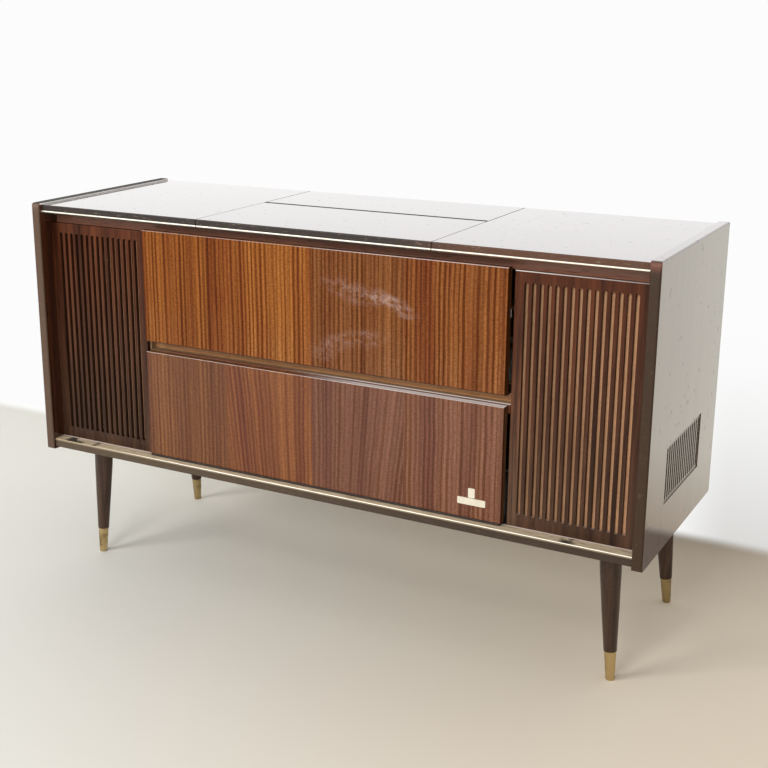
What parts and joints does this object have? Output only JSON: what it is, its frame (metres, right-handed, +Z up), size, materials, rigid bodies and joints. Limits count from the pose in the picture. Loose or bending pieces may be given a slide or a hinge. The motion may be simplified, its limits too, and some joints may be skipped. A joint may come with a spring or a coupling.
{
  "type": "gramophone cabinet",
  "caption": "Long low radiogram cabinet on splayed legs with slotted speaker fronts, drop flaps, lift-up lid, record changer and radio inside.",
  "frame": {"origin": "on the floor, in the middle of the ground that the cabinet and its feet cover", "axes": "+X to the right along the front, +Y from the front to the back, +Z up"},
  "size_m": [1.24, 0.4319, 0.748],
  "materials": {
    "mahogany": "glossy polyester lacquer over red-brown mahogany veneer",
    "striped_veneer": "semi-gloss lacquer over straight ribbon-striped veneer",
    "dark_wood": "near-black brown stained wood, satin",
    "plywood": "plain plywood and chipboard, unfinished",
    "hardboard": "brown hardboard",
    "aged_brass": "aged, lightly tarnished brass",
    "steel": "dull plated steel",
    "cream_paint": "cream stove enamel",
    "cream_plastic": "ivory moulded plastic",
    "dark_plastic": "black moulded plastic",
    "paper": "black paper cone and surround",
    "cloth": "tan woven loudspeaker cloth",
    "rubber": "black rubber",
    "bezel": "pale gold painted front",
    "clear_glass": "clear glass",
    "red_plastic": "red pointer",
    "catch_plastic": "white nylon catch"
  },
  "bodies": {
    "cabinet": {"left_side_panel": "mahogany", "right_side_panel": "mahogany", "bottom_board": "dark_wood", "partitions": "plywood", "middle_shelf": "plywood", "cross_rail": "mahogany", "frieze_rail": "dark_wood", "left_top": "mahogany", "right_top": "mahogany", "rear_top_strip": "mahogany", "brass_trims": "aged_brass", "hinge_fixed_leaves": "steel", "stay_studs": "steel", "flap_catches": "catch_plastic", "left_grille": "mahogany", "right_grille": "mahogany", "grille_cloths": "cloth", "speaker_baffles": "plywood", "speaker_baskets": "steel", "speaker_cones": "paper", "side_vent_grilles": "dark_wood", "back_panel": "hardboard", "cord_grommet": "rubber", "legs": "dark_wood", "leg_ferrules": "aged_brass", "leg_plates": "steel", "deck_board": "plywood", "changer_plate": "cream_paint", "spindle": "steel", "changer_motor": "steel", "radio_chassis": "steel", "radio_front": "bezel", "dial_glass": "clear_glass", "record_rack": "plywood"},
    "lid": {"lid": "mahogany", "lid_brass_line": "aged_brass", "lid_hinge_leaf": "steel", "lid_stay": "steel"},
    "upper_flap": {"upper_flap": "striped_veneer", "upper_hinge_leaf": "steel", "upper_stay_brackets": "steel"},
    "upper_stays": {"upper_stay_arms": "steel"},
    "lower_flap": {"lower_flap": "striped_veneer", "lower_hinge_leaf": "steel", "lower_stay_brackets": "steel"},
    "lower_stays": {"lower_stay_arms": "steel"},
    "platter": {"platter": "steel", "platter_mat": "rubber"},
    "arm_turret": {"arm_turret": "cream_paint"},
    "pickup_arm": {"pickup_arm": "cream_plastic", "pickup_head": "dark_plastic"},
    "speed_lever": {"speed_lever": "dark_plastic"},
    "dial_pointer": {"dial_pointer": "red_plastic"},
    "volume_knob": {"volume_knob": "cream_plastic"},
    "tone_knob": {"tone_knob": "cream_plastic"},
    "tuning_knob": {"tuning_knob": "cream_plastic"},
    "power_key": {"power_key": "cream_plastic"},
    "phono_key": {"phono_key": "cream_plastic"},
    "am_key": {"am_key": "cream_plastic"},
    "fm_key": {"fm_key": "cream_plastic"}
  },
  "joints": [
    {"name": "lid_hinge", "type": "hinge", "parent": "cabinet", "child": "lid", "pos_m": [0, 0.0272, 0.7418], "axis": [-1, 0, 0], "range_deg": [0, 80]},
    {"name": "upper_flap_hinge", "type": "hinge", "parent": "cabinet", "child": "upper_flap", "pos_m": [0, -0.1832, 0.4958], "axis": [1, 0, 0], "range_deg": [0, 90]},
    {"name": "upper_stay_swing", "type": "hinge", "parent": "upper_flap", "child": "upper_stays", "pos_m": [0, -0.173, 0.5858], "axis": [-1, 0, 0], "range_deg": [0, 45]},
    {"name": "lower_flap_hinge", "type": "hinge", "parent": "cabinet", "child": "lower_flap", "pos_m": [0, -0.1952, 0.2682], "axis": [1, 0, 0], "range_deg": [0, 90]},
    {"name": "lower_stay_swing", "type": "hinge", "parent": "lower_flap", "child": "lower_stays", "pos_m": [0, -0.173, 0.3582], "axis": [-1, 0, 0], "range_deg": [0, 45]},
    {"name": "platter_spin", "type": "hinge", "parent": "cabinet", "child": "platter", "pos_m": [-0.03, -0.007, 0.66], "axis": [0, 0, 1], "continuous": true},
    {"name": "arm_swing", "type": "hinge", "parent": "cabinet", "child": "arm_turret", "pos_m": [0.135, 0.093, 0.66], "axis": [0, 0, -1], "range_deg": [0, 42]},
    {"name": "arm_lift", "type": "hinge", "parent": "arm_turret", "child": "pickup_arm", "pos_m": [0.135, 0.093, 0.684], "axis": [-1, 0, 0], "range_deg": [0, 6]},
    {"name": "speed_lever_turn", "type": "hinge", "parent": "cabinet", "child": "speed_lever", "pos_m": [0.1, -0.129, 0.65], "axis": [0, 0, 1], "range_deg": [-30, 30]},
    {"name": "volume_turn", "type": "hinge", "parent": "cabinet", "child": "volume_knob", "pos_m": [-0.265, -0.15, 0.572], "axis": [0, 1, 0], "range_deg": [-150, 150]},
    {"name": "tone_turn", "type": "hinge", "parent": "cabinet", "child": "tone_knob", "pos_m": [-0.212, -0.15, 0.544], "axis": [0, 1, 0], "range_deg": [-150, 150]},
    {"name": "tuning_turn", "type": "hinge", "parent": "cabinet", "child": "tuning_knob", "pos_m": [0.265, -0.15, 0.572], "axis": [0, 1, 0], "range_deg": [-540, 540]},
    {"name": "dial_slide", "type": "slide", "parent": "cabinet", "child": "dial_pointer", "axis": [1, 0, 0], "range_m": [-0.15, 0.15]},
    {"name": "power_press", "type": "slide", "parent": "cabinet", "child": "power_key", "axis": [0, 1, 0], "range_m": [0, 0.004], "stiffness_N_per_m": 800},
    {"name": "phono_press", "type": "slide", "parent": "cabinet", "child": "phono_key", "axis": [0, 1, 0], "range_m": [0, 0.004], "stiffness_N_per_m": 800},
    {"name": "am_press", "type": "slide", "parent": "cabinet", "child": "am_key", "axis": [0, 1, 0], "range_m": [0, 0.004], "stiffness_N_per_m": 800},
    {"name": "fm_press", "type": "slide", "parent": "cabinet", "child": "fm_key", "axis": [0, 1, 0], "range_m": [0, 0.004], "stiffness_N_per_m": 800}
  ],
  "couplings": [
    {"joint": "upper_stay_swing", "follows": "upper_flap_hinge", "ratio": 0.5},
    {"joint": "lower_stay_swing", "follows": "lower_flap_hinge", "ratio": 0.5},
    {"joint": "dial_slide", "follows": "tuning_turn", "m_per_rad": 0.015915}
  ]
}
